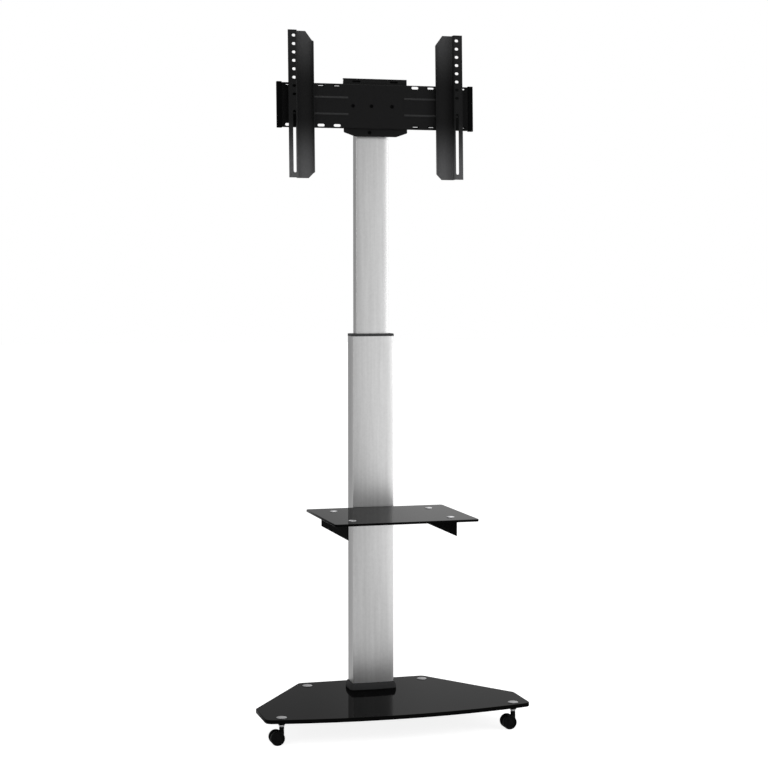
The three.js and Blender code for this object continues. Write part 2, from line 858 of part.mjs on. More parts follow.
function clampBolt(side) {
  const x = side * clampEarX;
  const headFoot = frameBack - frameSheet;
  const nutFoot = frameBack + clampDraw + clampSheet;
  const hexagon = circle(clampHeadRadius, x, clampMiddle, hexSides);
  return joined(
    prism(hexagon, 'y', headFoot - clampHeadThickness, headFoot),
    prism(circle(clampBoltRadius, x, clampMiddle), 'y', headFoot - clampHeadThickness / 2, nutFoot),
    prism(hexagon, 'y', nutFoot, nutFoot + clampNutThickness),
  );
}

function shelfCap([x, y]) {
  const top = shelfTop + shelfCapHeight;
  const cap = turned([
    [0, shelfFoot - shelfPinReach],
    [shelfPinRadius, shelfFoot - shelfPinReach],
    [shelfPinRadius, shelfTop],
    [shelfCapRadius, shelfTop],
    [shelfCapRadius, shelfTop + shelfCapRim],
    [shelfCapRadius - shelfCapShoulder, top - shelfCapRim / 2],
    [shelfCapRadius / 2, top],
    [0, top],
  ], capSteps);
  return cap.translate([x, y, 0]);
}

// Head. Pieces of the tilting part are built upright about the pivot, then lean with it.
const bracketBack = -upperBack - seatGap;
const bracketFront = bracketBack - bracketSheet;
const pivotY = -upperBack - pivotReach;
const plateFront = -plateReach;
const railFront = plateFront - seatGap - railDepth;
const earOuter = plateWidth / 2 - plateSheet - seatGap;

// The bracket's saddle follows the column's bow, and its ears narrow to a nose at the pivot
function headBracket() {
  const low = headHeight - bracketHeight / 2;
  const high = headHeight + bracketHeight / 2;
  const half = upperSection.width / 2 - upperSection.corner;
  const column = prism(bowedOutline(upperSection, seatGap), 'z', low - overrun, high + overrun);
  const block = prism(rectangle(-half, bracketFront, half, -upperSection.flat / 2), 'z', low, high);
  const middle = earOuter - bracketSheet / 2;
  const web = bracketFront + bracketSheet / 2;
  const tip = pivotY - bracketNose;
  const path = [[-middle, tip], [-middle, web], [middle, web], [middle, tip]];
  const channel = prism(bentSheet(path, bracketSheet, bracketSheet), 'z', low, high);
  const side = roundedPolygon([
    [bracketBack, low, 0],
    [bracketBack, high, 0],
    [bracketFront, high, 0],
    [tip, headHeight + bracketNoseHeight / 2, bracketNoseRound],
    [tip, headHeight - bracketNoseHeight / 2, bracketNoseRound],
    [bracketFront, low, 0],
  ]);
  const eared = channel.intersect(prism(side, 'x', -plateWidth, plateWidth));
  const bores = prism(circle(tiltBoltRadius + seatGap, pivotY, headHeight), 'x', -plateWidth, plateWidth);
  return cut(joined(cut(block, column), eared), bores);
}

const headGroup = new THREE.Group();
headGroup.position.set(0, pivotY, headHeight);
headGroup.rotation.x = -headLean;
upright.add(headGroup);

function tiltPlate() {
  const x = plateWidth / 2;
  const outline = roundedPolygon([
    [-x + plateCutWidth, -plateDrop, plateSheet],
    [x - plateCutWidth, -plateDrop, plateSheet],
    [x, -plateDrop + plateCutHeight, plateSheet],
    [x, plateRise, 0],
    [-x, plateRise, 0],
    [-x, -plateDrop + plateCutHeight, plateSheet],
  ]);
  const face = prism(outline, 'y', plateFront, plateFront + plateSheet);
  const flangeBack = plateFront + plateFlange;
  const flanges = [-1, 1].map((side) => prism(
    roundedPolygon([
      [plateFront, -plateDrop + plateFlangeInset, 0],
      [flangeBack, -plateDrop + 2 * plateFlangeInset, plateFlangeInset / 2],
      [flangeBack, plateRise - 2 * plateFlangeInset, plateFlangeInset / 2],
      [plateFront, plateRise, 0],
    ]),
    'x', side * x, side * (x - plateSheet),
  ));
  const brow = prism(
    rectangle(-x, plateRise - plateSheet, x, plateRise),
    'y', plateFront, plateFront + plateTopFlange,
  );
  const slots = [-1, 1].map((side) => prism(
    oblong((side * plateSlotSpread) / 2, plateRise - plateSlotDrop, plateSlotLength, plateSlotHeight),
    'y', plateFront - overrun, plateFront + plateSheet + overrun,
  ));
  const bores = prism(circle(tiltBoltRadius + seatGap), 'x', -plateWidth, plateWidth);
  return cut(joined(face, ...flanges, brow), ...slots, bores);
}

function tiltBolt(side) {
  const washer = plateWidth / 2 + seatGap;
  const tip = earOuter - bracketSheet - seatGap;
  return joined(
    prism(circle(tiltHeadRadius, 0, 0, hexSides), 'x', side * washer, side * (washer + tiltHeadThickness)),
    prism(circle(tiltBoltRadius), 'x', side * tip, side * (washer + tiltHeadThickness / 2)),
    prism(circle(tiltHeadRadius, 0, 0, hexSides), 'x', side * (tip - tiltHeadThickness), side * tip),
  );
}

const railSteelHalf = railLength / 2 - endCapWall - seatGap;
const beadOuter = railLength / 2 - beadEnd;
const railSlotOuter = railLength / 2 - railSlotEnd;

function rail() {
  const high = railHeight / 2 - railSheet / 2;
  const web = railFront + railSheet / 2;
  const back = railFront + railDepth;
  const section = bentSheet([[back, -high], [web, -high], [web, high], [back, high]], railSheet, railBend);
  const channel = prism(section, 'x', -railSteelHalf, railSteelHalf);
  const beadAxis = railFront + beadRadius - beadProud;
  const beads = [-1, 1].flatMap((side) => [-1, 1].map((row) => {
    const rod = prism(
      circle(beadRadius, beadAxis, (row * beadSpread) / 2), 'x', side * beadInner, side * beadOuter,
    );
    const behind = rectangle(railFront + railSheet / 2, -railHeight, back + overrun, railHeight);
    return cut(rod, prism(behind, 'x', -railLength, railLength));
  }));
  const slots = [-1, 1].flatMap((side) => [-1, 1].flatMap((row) => {
    const z = row * (railHeight / 2 - railSlotInset);
    return [...Array(railSlotCount).keys()].map((i) => prism(
      oblong(side * (railSlotOuter - i * railSlotPitch), z, railSlotLength, railSlotHeight),
      'y', railFront - overrun, railFront + railSheet + seatGap,
    ));
  }));
  return cut(joined(channel, ...beads), ...slots);
}

// A moulded cap that closes the rail's end and reaches a little way over it
function railEndCap(side) {
  const high = railHeight / 2 + endCapWall;
  const outer = side * (railLength / 2);
  const inner = side * (railLength / 2 - endCapWidth);
  const front = railFront - endCapWall;
  const back = railFront + railDepth + endCapWall;
  const body = prism(roundedRectangle(front, -high, back, high, railBend), 'x', inner, outer);
  const pocketHigh = railHeight / 2 + seatGap;
  const pocket = prism(
    rectangle(railFront - seatGap, -pocketHigh, railFront + railDepth + seatGap, pocketHigh),
    'x', side * (railLength / 2 - endCapWall), inner - side * overrun,
  );
  return cut(body, pocket);
}

// Arms. The pair stands a little to the left of the rail's middle.
const armPair = new THREE.Group();
armPair.position.x = -armShift;
headGroup.add(armPair);

const stripBack = railFront - armStandoff;
const stripMiddle = stripBack - armSheet / 2;
const armOuter = railLength / 2 - armEndInset;
const armInner = armOuter - armWidth;
const armHoleX = armOuter - armHoleInset;
const hookX = armInner + armSheet + hookInset;

function hook(side, row) {
  const under = row * (railHeight / 2 + seatGap + hookSheet / 2);
  const behind = railFront + railDepth + slideGap + hookSheet / 2;
  const tip = row * (railHeight / 2 - hookReach);
  const section = bentSheet([[stripMiddle, under], [behind, under], [behind, tip]], hookSheet, hookBend);
  return prism(section, 'x', side * hookX, side * (hookX + hookWidth));
}

const lockX = hookX + hookWidth / 2;
const lockY = railFront + railDepth / 2;
const lockTip = -railHeight / 2 - seatGap;

function arm(side) {
  const flangeFront = stripMiddle - armStep;
  const step = armOuter - armFlangeWidth + armSheet / 2;
  const lipX = armInner + armSheet / 2;
  const path = [
    [lipX, stripMiddle - armLip],
    [lipX, stripMiddle],
    [step, stripMiddle],
    [step, flangeFront],
    [armOuter, flangeFront],
  ].map(([x, y]) => [side * x, y]);
  const half = armLength / 2;
  const sheet = prism(bentSheet(path, armSheet, armBend), 'z', -half, half);
  const far = flangeFront - overrun;
  const near = stripBack + overrun;
  const edge = armInner - overrun;
  const topCut = prism([
    new THREE.Vector2(side * edge, half + overrun),
    new THREE.Vector2(side * edge, half - armTopCutHeight - overrun),
    new THREE.Vector2(side * armInner, half - armTopCutHeight),
    new THREE.Vector2(side * (armInner + armTopCutWidth), half),
    new THREE.Vector2(side * (armInner + armTopCutWidth), half + overrun),
  ], 'y', far, near);
  const bottomCut = prism([
    new THREE.Vector2(side * edge, -half - overrun),
    new THREE.Vector2(side * edge, -half + armBottomCut + overrun),
    new THREE.Vector2(side * armInner, -half + armBottomCut),
    new THREE.Vector2(side * (armInner + armBottomCut), -half),
    new THREE.Vector2(side * (armInner + armBottomCut), -half - overrun),
  ], 'y', far, near);
  const holes = [...Array(armHoleCount).keys()].map((i) => prism(
    oblong(side * armHoleX, half - armHoleFirst - i * armHolePitch, armHoleWidth, armHoleHeight),
    'y', far, stripBack,
  ));
  const slotMiddle = half - (armSlotFrom + armSlotTo) / 2;
  const slot = prism(
    oblong(side * armHoleX, slotMiddle, armSlotWidth, armSlotTo - armSlotFrom), 'y', far, stripBack,
  );
  const whole = joined(sheet, hook(side, 1), hook(side, -1));
  const lockBore = prism(
    circle(lockScrewRadius + seatGap, side * lockX, lockY), 'z',
    lockTip - hookSheet - overrun, lockTip + overrun,
  );
  return cut(whole, topCut, bottomCut, ...holes, slot, lockBore);
}

// A thumb screw up through the lower hook, which pins the arm where it stands on the rail
function armLock(side) {
  const neck = lockTip - hookSheet - lockNeck;
  const foot = neck - lockHeadThickness;
  const screw = turned([
    [0, foot],
    [lockHeadRadius - lockHeadRound, foot],
    [lockHeadRadius, foot + lockHeadRound],
    [lockHeadRadius, neck - lockHeadRound],
    [lockHeadRadius - lockHeadRound, neck],
    [lockScrewRadius, neck],
    [lockScrewRadius, lockTip],
    [0, lockTip],
  ], capSteps);
  return screw.translate([side * lockX, lockY, 0]);
}

place('base_glass', baseGlass(), materials.glass);
place('foot_plate', footPlate(), materials.steel);
place('foot_collar', footCollar(), materials.plastic);
casters.forEach(addCaster);
place('lower_column', lowerColumn(), materials.aluminium);
place('column_ring', columnRing(), materials.plastic);
place('upper_column', upperColumn(), materials.aluminium);
place('upper_glide', upperGlide(), materials.plastic);
place('upper_cap', upperCap(), materials.plastic);
place('height_knob', heightKnob(), materials.plastic);
place('height_nut', heightNut(), materials.zinc);

place('shelf_glass', shelfGlass(), materials.glass);
place('shelf_frame', shelfFrame(), materials.steel);
place('shelf_clamp', shelfClamp(), materials.steel);
place('shelf_clamp_bolt_left', clampBolt(-1), materials.zinc);
place('shelf_clamp_bolt_right', clampBolt(1), materials.zinc);
['front_left', 'rear_left', 'front_right', 'rear_right'].forEach((corner, i) => {
  place(`shelf_cap_${corner}`, shelfCap(shelfPins[i]), materials.satin);
});

place('head_bracket', headBracket(), materials.steel);
place('tilt_plate', tiltPlate(), materials.steel, headGroup);
place('rail', rail(), materials.steel, headGroup);
[['left', -1], ['right', 1]].forEach(([name, side]) => {
  place(`tilt_bolt_${name}`, tiltBolt(side), materials.zinc, headGroup);
  place(`rail_end_cap_${name}`, railEndCap(side), materials.plastic, headGroup);
  place(`arm_${name}`, arm(side), materials.steel, armPair);
  place(`arm_lock_${name}`, armLock(side), materials.plastic, armPair);
});

export default stand;
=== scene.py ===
"""The looks of a TV floor stand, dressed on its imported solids. Metres, +Z up, the front towards -Y."""

import json
import math

import bmesh
import bpy
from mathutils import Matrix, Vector


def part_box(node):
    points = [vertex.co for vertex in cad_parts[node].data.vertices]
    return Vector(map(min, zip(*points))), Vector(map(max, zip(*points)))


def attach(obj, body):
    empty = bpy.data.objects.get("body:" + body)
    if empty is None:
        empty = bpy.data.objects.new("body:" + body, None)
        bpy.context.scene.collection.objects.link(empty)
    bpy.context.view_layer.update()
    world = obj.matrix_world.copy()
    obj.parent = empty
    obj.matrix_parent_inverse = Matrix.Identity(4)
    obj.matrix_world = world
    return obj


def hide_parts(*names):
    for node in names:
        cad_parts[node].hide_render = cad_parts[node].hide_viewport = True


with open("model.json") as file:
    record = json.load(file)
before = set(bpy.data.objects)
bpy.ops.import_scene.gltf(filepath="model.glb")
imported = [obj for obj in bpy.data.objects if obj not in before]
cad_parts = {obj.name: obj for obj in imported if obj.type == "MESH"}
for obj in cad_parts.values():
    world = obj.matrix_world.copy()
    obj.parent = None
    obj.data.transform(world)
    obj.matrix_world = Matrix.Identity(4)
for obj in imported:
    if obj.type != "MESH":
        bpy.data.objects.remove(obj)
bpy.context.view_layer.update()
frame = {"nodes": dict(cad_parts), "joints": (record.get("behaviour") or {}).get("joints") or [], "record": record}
nodes = frame["nodes"]
joints = {joint["name"]: joint for joint in frame["joints"]}
MM = 0.001

CORNERS = ("front_left", "front_right", "rear_left", "rear_right")
ENDS = ("left", "right")

# Camera, as the photograph was taken: from the front left, at about two thirds of the stand's height.
# Its place is measured from the column's foot.
IMAGE_SIDE = 768
FOCAL_PIXELS = 1849.9
SENSOR = 36.0
CAMERA_OFFSET = Vector((-1.5269, -5.5095, 1.371))
CAMERA_YAW = math.radians(15.902)
CAMERA_PITCH = 0.06009
CAMERA_REACH = 100

# Steps round a turned piece, and round each end of an oblong
ROUND_STEPS = 48
WHEEL_STEPS = 60
KNOB_STEPS = 96
KNURL_STEPS = 192
OBLONG_STEPS = 8

# An edge stays sharp above one angle, faces within the other are one flat face, and points this
# close are one point
SHARP_ANGLE = math.radians(33)
FLAT_ANGLE = math.radians(0.5)
WELD = 0.01 * MM

# Bent sheet has small round edges
SHEET_EDGE = 0.5 * MM
SHEET_EDGE_STEPS = 2

# The rail's and the plate's front faces, measured forward from the tilt pivot
RAIL_FACE = 26.3 * MM
RAIL_SHEET = 2.5 * MM
PLATE_FACE = 16 * MM
PLATE_SHEET = 3 * MM

# The rail's slots, in two rows as far above the tilt pivot as below it
SLOT_WIDE = 22 * MM
SLOT_TALL = 8 * MM
SLOT_ROW = 59.5 * MM

# Slots that show dark have a plug with a slit. Each plug has its slot's place across in millimetres,
# its row, which is 1 above and -1 below, and its slit's height in millimetres.
PLUG_SLITS = {
    (-273, 1): 1.4, (-223, 1): 1.4, (-173, 1): 1.4, (-123, 1): 1.4, (173, 1): 5.6, (223, 1): 4,
    (273, 1): 4, (123, -1): 1.6, (173, -1): 1.2, (223, -1): 0.8, (273, -1): 0.8,
}

# Button-head screws on the head, from the tilt pivot: across, out to the front, and up
SCREW_SPOTS = (
    (-73 * MM, RAIL_FACE, 1 * MM), (-15 * MM, RAIL_FACE, 1 * MM), (50 * MM, RAIL_FACE, 1 * MM),
    (-19 * MM, PLATE_FACE, -78 * MM),
)

# CAD nodes that are blacker or greyer than the finish of their slot. The finishes of the arms, the rail and the
# foot collar hold painted sheen, highlights and shade.
SPECIAL_FINISHES = {
    "arm_left": "arms", "arm_right": "arms", "rail": "rail", "foot_collar": "collar",
    "column_ring": "ring", "shelf_frame": "matte", "shelf_clamp": "matte",
    "rail_end_cap_left": "matte", "rail_end_cap_right": "matte",
}

# The blue in each finish but the aluminium, as a share of its red
BLUE_SHARE = 1.02

# The floor's side, its own grey, and what it adds to that grey for the camera and in mirrors, where
# white is 1. In mirrors it brightens between two places, from left to right.
FLOOR_SIDE = 60
FLOOR_GREY = 0.5
FLOOR_TO_CAMERA = 0.86
FLOOR_IN_MIRRORS = (0.3, 0.85)
FLOOR_RIGHT = (0.7, 1.5)

# The world's even light on the stand
WORLD_LIGHT = 0.62

# What the backdrop shows in mirrors, where white is 1: a level to the left and one to the right of a
# soft upright edge behind the stand. The edge lies in a direction turned from +Y towards +X.
BACKDROP_EDGE = math.radians(15.5)
BACKDROP_SOFT = math.sin(math.radians(2))
BACKDROP_IN_MIRRORS = (0.62, 1.0)

# In mirrors the backdrop is dimmer or brighter again far to the left, far to the right, and high up in
# front. Each of these sets in between two values of the direction looked in: of its part across, away
# from the edge, for the sides, and of its parts along Y and Z for the front.
LEFT_SIDE = (-0.1, -0.5)
LEFT_SIDE_IN_MIRRORS = 0.8
RIGHT_SIDE = (0.7, 0.9)
RIGHT_SIDE_IN_MIRRORS = 1.25
FRONT_SIDE = (0.1, -0.3)
FRONT_HEIGHT = (0.08, 0.25)
HIGH_FRONT_IN_MIRRORS = 0.05

# Lamps, all turned to one point: place, width and height, and power in watts
LAMP_TARGET = (0, 0.1, 1.2)
LAMPS = {
    "key": ((3.9, -2.3, 2.0), (2.2, 3.6), 50),
    "fill": ((-3.6, -3.4, 2.6), (1.6, 2.6), 20),
    "top": ((0, -0.5, 4.6), (2.4, 2.4), 30),
}


def middle_of(node):
    low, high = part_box(node)
    return (low + high) / 2


def foot_of(node):
    """The middle of a node's underside."""
    low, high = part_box(node)
    foot = (low + high) / 2
    foot.z = low.z
    return foot


def front_of_head():
    """The way the leaning head faces, which is also the way of the first mount, an arm's face."""
    return Vector(frame["record"]["mounts"][0]["axis"])


def head_point(x, out, up):
    """A place on the leaning head, from the tilt pivot: across, out to the front, and up."""
    upright = Vector((1, 0, 0)).cross(-front_of_head())
    return Vector(joints["head_tilt"]["pos_m"]) + Vector((x, 0, 0)) + front_of_head() * out + upright * up


def head_face(out):
    """How far along the head's own front a plane lies that is this far out from the tilt pivot."""
    return Vector(joints["head_tilt"]["pos_m"]).dot(front_of_head()) + out


def make_camera():
    foot = middle_of("lower_column")
    foot.z = 0
    camera = bpy.data.cameras.new("camera")
    camera.sensor_width = SENSOR
    camera.lens = FOCAL_PIXELS / IMAGE_SIDE * SENSOR
    camera.clip_end = CAMERA_REACH
    holder = bpy.data.objects.new("camera", camera)
    bpy.context.collection.objects.link(holder)
    holder.location = foot + CAMERA_OFFSET
    holder.rotation_euler = (math.pi / 2 - CAMERA_PITCH, 0, -CAMERA_YAW)
    bpy.context.scene.camera = holder


# Shader nodes


def new_material(name):
    material = bpy.data.materials.new(name)
    material.use_nodes = True
    tree = material.node_tree
    return material, tree, tree.nodes["Principled BSDF"]


def noise(tree, scale, detail=2.0, stretch=(1, 1, 1)):
    """A noise over the object's own coordinates, finer with a larger scale."""
    place = tree.nodes.new("ShaderNodeTexCoord")
    mapping = tree.nodes.new("ShaderNodeMapping")
    mapping.inputs["Scale"].default_value = stretch
    texture = tree.nodes.new("ShaderNodeTexNoise")
    texture.inputs["Scale"].default_value = scale
    texture.inputs["Detail"].default_value = detail
    tree.links.new(place.outputs["Object"], mapping.inputs["Vector"])
    tree.links.new(mapping.outputs["Vector"], texture.inputs["Vector"])
    return texture.outputs["Fac"]


def ranged(tree, source, low, high):
    """The source, which runs from 0 to 1, laid between two values."""
    span = tree.nodes.new("ShaderNodeMapRange")
    span.inputs["To Min"].default_value = low
    span.inputs["To Max"].default_value = high
    tree.links.new(source, span.inputs["Value"])
    return span.outputs["Result"]


def eased(tree, source, start, end):
    """0 where the source is at the start, 1 where it is at the end, eased between."""
    share = tree.nodes.new("ShaderNodeMapRange")
    share.interpolation_type = "SMOOTHSTEP"
    share.inputs["From Min"].default_value = start
    share.inputs["From Max"].default_value = end
    tree.links.new(source, share.inputs["Value"])
    return share.outputs["Result"]


def figured(tree, operation, first, second):
    """Two values or sockets put together by one sum."""
    node = tree.nodes.new("ShaderNodeMath")
    node.operation = operation
    for socket, value in zip(node.inputs, (first, second)):
        if isinstance(value, bpy.types.NodeSocket):
            tree.links.new(value, socket)
        else:
            socket.default_value = value
    return node.outputs[0]


def along_way(tree, place, direction):
    """How far a place, given by a socket, lies along a direction."""
    dot = tree.nodes.new("ShaderNodeVectorMath")
    dot.operation = "DOT_PRODUCT"
    dot.inputs[1].default_value = direction
    tree.links.new(place, dot.inputs[0])
    return dot.outputs["Value"]


def share_along(tree, direction, start, end):
    """How far a point of the object lies along a direction: 0 at the start, 1 at the end, eased between."""
    place = tree.nodes.new("ShaderNodeTexCoord")
    return eased(tree, along_way(tree, place.outputs["Object"], direction), start, end)


def grey_of(tree, source, blue):
    """A grey as light as the source, whose blue is a share of its red."""
    joined = tree.nodes.new("ShaderNodeCombineColor")
    tree.links.new(source, joined.inputs["Red"])
    tree.links.new(source, joined.inputs["Green"])
    tree.links.new(figured(tree, "MULTIPLY", source, blue), joined.inputs["Blue"])
    return joined.outputs["Color"]


def bumped(tree, shader, source, strength, distance):
    bump = tree.nodes.new("ShaderNodeBump")
    bump.inputs["Strength"].default_value = strength
    bump.inputs["Distance"].default_value = distance
    tree.links.new(source, bump.inputs["Height"])
    tree.links.new(bump.outputs["Normal"], shader.inputs["Normal"])


def seen_in_mirrors(tree):
    """1 for what mirrors and glass show, 0 otherwise."""
    path = tree.nodes.new("ShaderNodeLightPath")
    return figured(tree, "MAXIMUM", path.outputs["Is Glossy Ray"], path.outputs["Is Transmission Ray"])


# Materials


def finish_of(name, tone, rough, grain, depth, metallic=0, gloss=0.5, ior=1.5):
    """A finish whose tone and roughness each wander between two values, with a fine grain in relief. A
    larger number makes a finer grain, and the depth is that of its relief."""
    material, tree, shader = new_material(name)
    cloud = noise(tree, grain / 12, 3.0)
    tree.links.new(grey_of(tree, ranged(tree, cloud, *tone), BLUE_SHARE), shader.inputs["Base Color"])
    tree.links.new(ranged(tree, cloud, *rough), shader.inputs["Roughness"])
    shader.inputs["Metallic"].default_value = metallic
    shader.inputs["Specular IOR Level"].default_value = gloss
    shader.inputs["IOR"].default_value = ior
    bumped(tree, shader, noise(tree, grain), 0.3, depth)
    return material


def anodised():
    """Drawn aluminium, satin anodised: upright lines and streaks, with a fine sparkle and a soft mottle."""
    material, tree, shader = new_material("anodised")
    lines = noise(tree, 900, 2.0, (1, 1, 0.01))
    sparkle = noise(tree, 700, 3.0)
    streaks = noise(tree, 90, 2.0, (1, 1, 0.04))
    mottle = noise(tree, 120)
    tone = ranged(tree, lines, 0.59, 0.64)
    for figure, swing in ((sparkle, 0.04), (mottle, 0.04), (streaks, 0.08)):
        tone = figured(tree, "ADD", tone, ranged(tree, figure, -swing, swing))
    tree.links.new(grey_of(tree, tone, 1.0), shader.inputs["Base Color"])
    tree.links.new(ranged(tree, sparkle, 0.26, 0.36), shader.inputs["Roughness"])
    shader.inputs["Metallic"].default_value = 1
    shader.inputs["Specular Tint"].default_value = (0.6, 0.6, 0.6, 1)
    bumped(tree, shader, lines, 0.1, 0.02 * MM)
    return material


def coat_over(material, tree, shader, tone, gloss):
    """Finishes a fine-grained black coat whose tone comes from a socket."""
    cloud = noise(tree, 130, 3.0)
    clouded = figured(tree, "MULTIPLY", tone, ranged(tree, cloud, 0.85, 1.15))
    tree.links.new(grey_of(tree, clouded, BLUE_SHARE), shader.inputs["Base Color"])
    tree.links.new(ranged(tree, cloud, 0.45, 0.6), shader.inputs["Roughness"])
    shader.inputs["Specular IOR Level"].default_value = gloss
    bumped(tree, shader, noise(tree, 1600), 0.3, 0.1 * MM)
    return material


def arm_coat_painted_sheen():
    """Powder coat, blackest near the arms' middles, with a painted sheen in its colour: it greys towards
    their feet, and towards their tops on the sides more than on the front flanges."""
    material, tree, shader = new_material("arm_coat_painted_sheen")
    low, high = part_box("arm_left")
    long = high.z - low.z
    up = (0, 0, 1)
    rail_face = head_face(RAIL_FACE)
    # The greying towards the tops and the feet is painted sheen
    sides = share_along(tree, front_of_head(), rail_face + 20 * MM, rail_face + 8 * MM)
    top = share_along(tree, up, low.z + 0.62 * long, low.z + 1.08 * long)
    foot = share_along(tree, up, low.z + 0.42 * long, low.z + 0.02 * long)
    painted_top_sheen = figured(tree, "MULTIPLY", ranged(tree, top, 0, 0.065), ranged(tree, sides, 0.2, 1))
    tone = figured(tree, "ADD", painted_top_sheen, ranged(tree, foot, 0.008, 0.11))
    return coat_over(material, tree, shader, tone, 0.1)


def rail_coat_painted_light():
    """Powder coat with a painted highlight along the raised beads, and darkened by painted shade beyond the arms.
    """
    material, tree, shader = new_material("rail_coat_painted_light")
    rail_face = head_face(RAIL_FACE)
    # A painted highlight lightens the coat on the raised beads
    painted_bead_highlight = share_along(tree, front_of_head(), rail_face + 0.1 * MM, rail_face + 0.8 * MM)
    # Beyond the arms the coat is darkened as painted shade
    right = share_along(tree, (1, 0, 0), 245 * MM, 262 * MM)
    left = share_along(tree, (1, 0, 0), -245 * MM, -262 * MM)
    painted_shade_beyond_arms = figured(tree, "MAXIMUM", right, left)
    tone = figured(tree, "ADD", ranged(tree, painted_bead_highlight, 0.011, 0.036), ranged(tree, painted_shade_beyond_arms, 0, -0.006))
    return coat_over(material, tree, shader, tone, 0.06)


def collar_plastic_painted_light():
    """Moulded plastic with painted light: a painted highlight greys it above, and painted shade blackens the foot
    collar's lowest edge.
    """
    material, tree, shader = new_material("collar_plastic_painted_light")
    low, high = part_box("foot_collar")
    tall = high.z - low.z
    # Painted shade along the lowest edge, a painted highlight above it
    upper = share_along(tree, (0, 0, 1), low.z + 0.06 * tall, low.z + 0.14 * tall)
    return coat_over(material, tree, shader, ranged(tree, upper, 0.003, 0.042), 0.02)


def make_materials():
    """The finishes by name: one for each slot of the record, and some for single nodes."""
    return {
        "arms": arm_coat_painted_sheen(),
        "rail": rail_coat_painted_light(),
        "collar": collar_plastic_painted_light(),
        "glass": finish_of("black_glass", (0.003, 0.0045), (0.03, 0.06), 60, 0.002 * MM, ior=1.045),
        "aluminium": anodised(),
        "steel": finish_of("powder_coat", (0.006, 0.009), (0.45, 0.6), 1600, 0.1 * MM, gloss=0.12),
        "matte": finish_of("matte_coat", (0.003, 0.005), (0.6, 0.75), 1400, 0.1 * MM, ior=1.05),
        "plastic": finish_of("black_plastic", (0.006, 0.009), (0.4, 0.55), 2400, 0.05 * MM, ior=1.12),
        "ring": finish_of("grey_black_plastic", (0.05, 0.07), (0.4, 0.55), 2400, 0.05 * MM, ior=1.12),
        "tread": finish_of("wheel_nylon", (0.003, 0.006), (0.45, 0.6), 1800, 0.05 * MM, ior=1.15),
        "satin": finish_of("satin_chrome", (0.66, 0.78), (0.22, 0.34), 1500, 0.02 * MM, metallic=1),
        "grey_satin": finish_of("satin_nickel", (0.36, 0.44), (0.4, 0.5), 1500, 0.02 * MM, metallic=1),
        "zinc": finish_of("zinc_plate", (0.48, 0.6), (0.25, 0.4), 900, 0.05 * MM, metallic=1),
    }


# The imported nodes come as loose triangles, so each is joined up before it is shaded


def make_joiner():
    """A node group that joins loose triangles and shades the shallow edges between them as round."""
    group = bpy.data.node_groups.new("joined_and_smooth", "GeometryNodeTree")
    for way in ("INPUT", "OUTPUT"):
        group.interface.new_socket("Geometry", in_out=way, socket_type="NodeSocketGeometry")
    source = group.nodes.new("NodeGroupInput")
    bare = group.nodes.new("GeometryNodeRemoveAttribute")
    bare.inputs["Name"].default_value = "custom_normal"
    merge = group.nodes.new("GeometryNodeMergeByDistance")
    merge.inputs["Distance"].default_value = WELD
    smooth = group.nodes.new("GeometryNodeSetShadeSmooth")
    angle = group.nodes.new("GeometryNodeInputMeshEdgeAngle")
    steep = group.nodes.new("FunctionNodeCompare")
    steep.operation = "GREATER_THAN"
    steep.inputs["B"].default_value = SHARP_ANGLE
    sharp = group.nodes.new("GeometryNodeSetShadeSmooth")
    sharp.domain = "EDGE"
    sharp.inputs["Shade Smooth"].default_value = False
    result = group.nodes.new("NodeGroupOutput")
    chain = (source, bare, merge, smooth, sharp, result)
    for before, after in zip(chain, chain[1:]):
        group.links.new(before.outputs["Geometry"], after.inputs["Geometry"])
    group.links.new(angle.outputs["Unsigned Angle"], steep.inputs["A"])
    group.links.new(steep.outputs["Result"], sharp.inputs["Selection"])
    return group


def dress(node, material, joiner, edge):
    """Gives a CAD node its finish, with round faces shaded as round and, where an edge has a size,
    round edges."""
    piece = nodes[node]
    piece.data.materials.clear()
    piece.data.materials.append(material)
    piece.modifiers.new("joined", "NODES").node_group = joiner
    if edge:
        flat = piece.modifiers.new("flat", "DECIMATE")
        flat.decimate_type = "DISSOLVE"
        flat.angle_limit = FLAT_ANGLE
        bevel = piece.modifiers.new("edges", "BEVEL")
        bevel.width = edge
        bevel.segments = SHEET_EDGE_STEPS
        bevel.angle_limit = SHARP_ANGLE
        bevel.use_clamp_overlap = True
        piece.modifiers.new("shaded", "WEIGHTED_NORMAL").keep_sharp = True


def dress_nodes(finishes):
    """Dresses every CAD node. All steel but the foot plate is bent sheet."""
    joiner = make_joiner()
    for part in frame["record"]["subparts"]:
        node = part["node"]
        slot = part["material_slot"]
        is_sheet = slot == "steel" and node != "foot_plate"
        finish = finishes[SPECIAL_FINISHES.get(node, slot)]
        dress(node, finish, joiner, SHEET_EDGE if is_sheet else 0)


# Turned pieces


def value_at(value, angle):
    return value(angle) if callable(value) else value


def ring_of(mesh, radius, height, steps, turn, place):
    """One ring of a turned piece, or a single point where it meets the axis."""
    count = steps if callable(radius) or radius > 0 else 1
    points = []
    for i in range(count):
        angle = 2 * math.pi * i / steps
        reach = value_at(radius, angle)
        point = Vector((reach * math.cos(angle), reach * math.sin(angle), value_at(height, angle)))
        points.append(mesh.verts.new(turn @ point + place))
    return points


def finished(name, mesh, material, body, replaced):
    """Makes a piece of a closed mesh, shaded round over its shallow edges, and lets it ride on a body."""
    bmesh.ops.recalc_face_normals(mesh, faces=mesh.faces)
    for face in mesh.faces:
        face.smooth = True
    for edge in mesh.edges:
        edge.smooth = edge.calc_face_angle() < SHARP_ANGLE
    data = bpy.data.meshes.new(name)
    mesh.to_mesh(data)
    mesh.free()
    piece = bpy.data.objects.new(name, data)
    bpy.context.collection.objects.link(piece)
    piece.data.materials.append(material)
    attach(piece, body)
    if replaced:
        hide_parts(*replaced)


